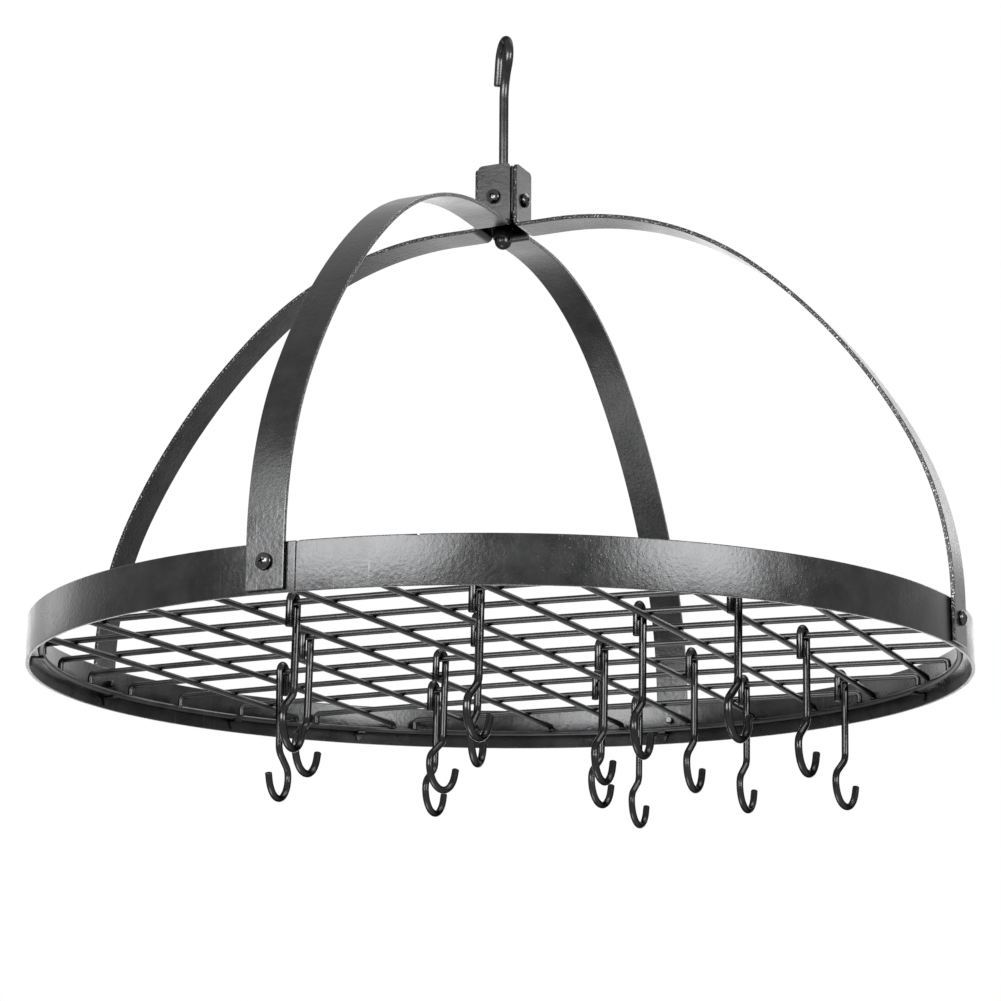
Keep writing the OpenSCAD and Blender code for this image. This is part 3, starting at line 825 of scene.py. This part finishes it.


# the worn grey is worn paint and scratches, and also the painted highlight on the corners and the
# painted glints on the sheared face
flatPaint = {'dark': (0.027, 0.0272, 0.0277), 'light': (0.039, 0.0393, 0.0399),
             'wornAndHighlight': (0.13, 0.13, 0.132), 'shear': (0.009, 0.009, 0.0092), 'edgeTint': 0.92,
             'roughLow': 0.25, 'roughHigh': 0.34, 'bump': 0.00013, 'peel': 1.1, 'runs': 0.2,
             'grit': 0.5, 'cornerReach': 0.06, 'cornerWearAndHighlight': 0.6, 'shearDark': 0.75,
             'shearWearAndGlint': 0.9, 'shearRelief': 2.2, 'tornGlintRange': (0.56, 0.66), 'scratch': 0.35,
             'scratchRange': (0.66, 0.72), 'patchMarks': 17, 'patchRange': (0.54, 0.66),
             'runMarks': (260.0, 1.6, 300.0), 'scratchStretch': (850.0, 850.0, 24.0),
             'scratchTilt': (0.1, 0.12, 0.0)}


def makeFlatPaint():
    f = flatPaint
    paint, tree, shader = newPaint('framePaint')
    place = tree.nodes.new('ShaderNodeTexCoord').outputs['Object']
    grain = addNode(tree, 'Attribute', attribute_name='grain').outputs['Vector']
    runPlace = addNode(tree, 'Mapping', {'Scale': f['runMarks']}, {'Vector': grain})
    skin = placeGroup(tree, paintSkin, {'Peel': f['peel'], 'Runs': f['runs'], 'Grit': f['grit']},
                      {'Place': place, 'Run place': runPlace.outputs['Vector']})
    edge = placeGroup(tree, barEdge, {'Reach': f['cornerReach']}, {'Grain': grain, 'Place': place})
    blotch = skin.outputs['Blotch']
    colour = blendColour(tree, ramp(tree, blotch, *skinMarks['greyRange']), f['dark'], f['light'])
    # the corners are painted lighter: partly thinned paint, partly a painted highlight along the
    # edges
    bareAndHighlight = calc(tree, 'MULTIPLY', edge.outputs['Corner'], f['cornerWearAndHighlight'])
    colour = blendColour(tree, bareAndHighlight, colour, f['wornAndHighlight'])
    # sparse upright scratches, a millimetre wide, in a few patches
    upright = addNode(tree, 'Mapping', {'Scale': f['scratchStretch'], 'Rotation': f['scratchTilt']},
                      {'Vector': place}).outputs['Vector']
    scored = ramp(tree, addNoise(tree, upright, 1, 1), *f['scratchRange'])
    patchNoise = addNoise(tree, place, f['patchMarks'], 1)
    patch = ramp(tree, patchNoise, *f['patchRange'], 0.0, f['scratch'])
    colour = blendColour(tree, calc(tree, 'MULTIPLY', scored, patch), colour, f['wornAndHighlight'])
    # the sheared narrow faces are dark, with bright specks that are partly torn paint and partly
    # painted glints
    shade = calc(tree, 'MULTIPLY', edge.outputs['Sheared'], f['shearDark'])
    colour = blendColour(tree, shade, colour, f['shear'])
    shearHeight = edge.outputs['Shear height']
    tornAndGlint = calc(tree, 'MULTIPLY', ramp(tree, shearHeight, *f['tornGlintRange']), f['shearWearAndGlint'])
    colour = blendColour(tree, tornAndGlint, colour, f['wornAndHighlight'])
    rough = ramp(tree, blotch, *skinMarks['shineRange'], f['roughLow'], f['roughHigh'])
    shearRelief = calc(tree, 'MULTIPLY', shearHeight, f['shearRelief'])
    height = calc(tree, 'ADD', skin.outputs['Height'], shearRelief)
    setFinish(tree, shader, colour, rough, height, f['bump'], f['edgeTint'])
    return paint


rodRuns = {'marks': 160.0, 'strength': 0.3}
# dark and light grey, edge tint, low and high roughness, peel, grit, bump in metres
rodPaints = {'castPaint': (0.036, 0.05, 0.9, 0.3, 0.4, 0.6, 0.5, 0.00016),
             'gridPaint': (0.03, 0.045, 0.6, 0.28, 0.38, 0.25, 0.3, 0.00012),
             'stemPaint': (0.034, 0.045, 0.35, 0.22, 0.34, 0.2, 0.3, 0.0001),
             'nutPaint': (0.018, 0.032, 0.5, 0.18, 0.28, 0.3, 0.3, 0.00012),
             'hookPaint': (0.027, 0.039, 0.35, 0.16, 0.26, 0.2, 0.3, 0.0001),
             'screwBlack': (0.04, 0.075, 0.6, 0.12, 0.2, 0.15, 0.4, 0.0001)}
coldTint = 1.025    # the blue of every grey stands this much above its red and green


def makeRodPaint(name, dark, light, edgeTint, roughLow, roughHigh, peel, grit, bump):
    paint, tree, shader = newPaint(name)
    place = tree.nodes.new('ShaderNodeTexCoord').outputs['Object']
    runPlace = addNode(tree, 'Mapping', {'Scale': (rodRuns['marks'],) * 3}, {'Vector': place})
    skin = placeGroup(tree, paintSkin, {'Peel': peel, 'Runs': rodRuns['strength'], 'Grit': grit},
                      {'Place': place, 'Run place': runPlace.outputs['Vector']})
    blotch = skin.outputs['Blotch']
    colour = blendColour(tree, ramp(tree, blotch, *skinMarks['greyRange']),
                         (dark, dark, dark * coldTint), (light, light, light * coldTint))
    rough = ramp(tree, blotch, *skinMarks['shineRange'], roughLow, roughHigh)
    setFinish(tree, shader, colour, rough, skin.outputs['Height'], bump, edgeTint)
    return paint


paints = {name: makeRodPaint(name, *values) for name, values in rodPaints.items()}
paints['framePaint'] = makeFlatPaint()
for piece, body, nodes, slot, paint in finished:
    piece.data.materials.clear()
    piece.data.materials.append(paints[paint])
    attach(piece, body)
    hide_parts(*nodes)
print('paints made,', len(finished), 'pieces ride')


# studio

studio = {'floorHeight': -2.05, 'floorSize': 60, 'floorGlow': 0.86, 'fill': 0.35,
          'floorGrey': 0.86, 'floorRough': 0.9, 'lampAim': (0, 0, -0.45),
          'cameraAt': (0.85092, -1.97604, -0.92461),
          'cameraRight': (0.91891209, 0.39441201, 0.00630327),
          'cameraForward': (-0.38468938, 0.89249626, 0.23550903),
          'lens': 96.275, 'filmWidth': 36, 'farthest': 100}
# for each lamp: turn and rise about its aim, distance, width, height, power
lamps = {'leftBox': (-97, 9, 2.4, 1.6, 0.85, 84), 'rightBox': (-25, 9, 2.4, 1.15, 0.85, 62),
         'farBox': (172, 12, 2.6, 0.6, 0.9, 5), 'backTop': (66, 56, 2.4, 1.6, 1.7, 60),
         'backdropBox': (113, 2, 3.2, 4.5, 3.0, 68), 'sideStrip': (58, 20, 2.4, 0.45, 0.5, 6),
         'tabBox': (-118, 24, 2.4, 0.5, 0.4, 4), 'lowFront': (-150, -74, 1.5, 0.8, 0.8, 10)}


def seenOrMirrored(tree):
    path = tree.nodes.new('ShaderNodeLightPath')
    seen = calc(tree, 'MAXIMUM', path.outputs['Is Camera Ray'], path.outputs['Is Glossy Ray'])
    return calc(tree, 'MAXIMUM', seen, path.outputs['Is Transmission Ray'])


def makeStudio():
    s = studio
    clearSelection()
    bpy.ops.mesh.primitive_plane_add(size=s['floorSize'], location=(0, 0, s['floorHeight']))
    floor = bpy.context.object
    floor.name = 'studioFloor'
    paint, tree, shader = newPaint('floorPaint')
    shader.inputs['Base Color'].default_value = (s['floorGrey'],) * 3 + (1,)
    shader.inputs['Roughness'].default_value = s['floorRough']
    # seen or mirrored, the floor is nearly as white as the backdrop and keeps part of its shadow
    glow = addNode(tree, 'Emission', {'Color': (1, 1, 1, 1), 'Strength': 1.0})
    mixed = tree.nodes.new('ShaderNodeMixShader')
    tree.links.new(calc(tree, 'MULTIPLY', seenOrMirrored(tree), s['floorGlow']), mixed.inputs[0])
    tree.links.new(shader.outputs[0], mixed.inputs[1])
    tree.links.new(glow.outputs[0], mixed.inputs[2])
    tree.links.new(mixed.outputs[0], tree.nodes['Material Output'].inputs['Surface'])
    floor.data.materials.append(paint)
    aim = Vector(s['lampAim'])
    for name, (turn, lift, distance, width, height, power) in lamps.items():
        light = bpy.data.lights.new(name, 'AREA')
        light.shape = 'RECTANGLE'
        light.size, light.size_y = width, height
        light.energy = power
        lamp = bpy.data.objects.new(name, light)
        bpy.context.scene.collection.objects.link(lamp)
        ray = (turned(turn) @ turned(-lift, 'Y')).to_3x3() @ Vector((1, 0, 0))
        lamp.location = aim + ray * distance
        lamp.rotation_euler = ray.to_track_quat('Z', 'Y').to_euler()
    world = bpy.data.worlds.new('studioWorld')
    bpy.context.scene.world = world
    world.use_nodes = True
    tree = world.node_tree
    tree.nodes.clear()
    soft = addNode(tree, 'Background', {'Color': (1, 1, 1, 1), 'Strength': s['fill']})
    white = addNode(tree, 'Background', {'Color': (1, 1, 1, 1), 'Strength': 1.0})
    mixed = tree.nodes.new('ShaderNodeMixShader')
    tree.links.new(seenOrMirrored(tree), mixed.inputs[0])
    tree.links.new(soft.outputs[0], mixed.inputs[1])
    tree.links.new(white.outputs[0], mixed.inputs[2])
    tree.links.new(mixed.outputs[0], tree.nodes.new('ShaderNodeOutputWorld').inputs['Surface'])
    bpy.context.scene.view_settings.view_transform = 'Standard'


def makeCamera():
    s = studio
    lens = bpy.data.cameras.new('photoCamera')
    lens.sensor_width = s['filmWidth']
    lens.lens = s['lens']
    lens.clip_end = s['farthest']
    camera = bpy.data.objects.new('photoCamera', lens)
    bpy.context.scene.collection.objects.link(camera)
    right, forward = Vector(s['cameraRight']), Vector(s['cameraForward'])
    columns = (right, right.cross(forward), -forward)
    camera.matrix_world = Matrix.Translation(s['cameraAt']) @ Matrix(columns).transposed().to_4x4()
    bpy.context.scene.camera = camera


makeStudio()
makeCamera()
print('studio and camera made')
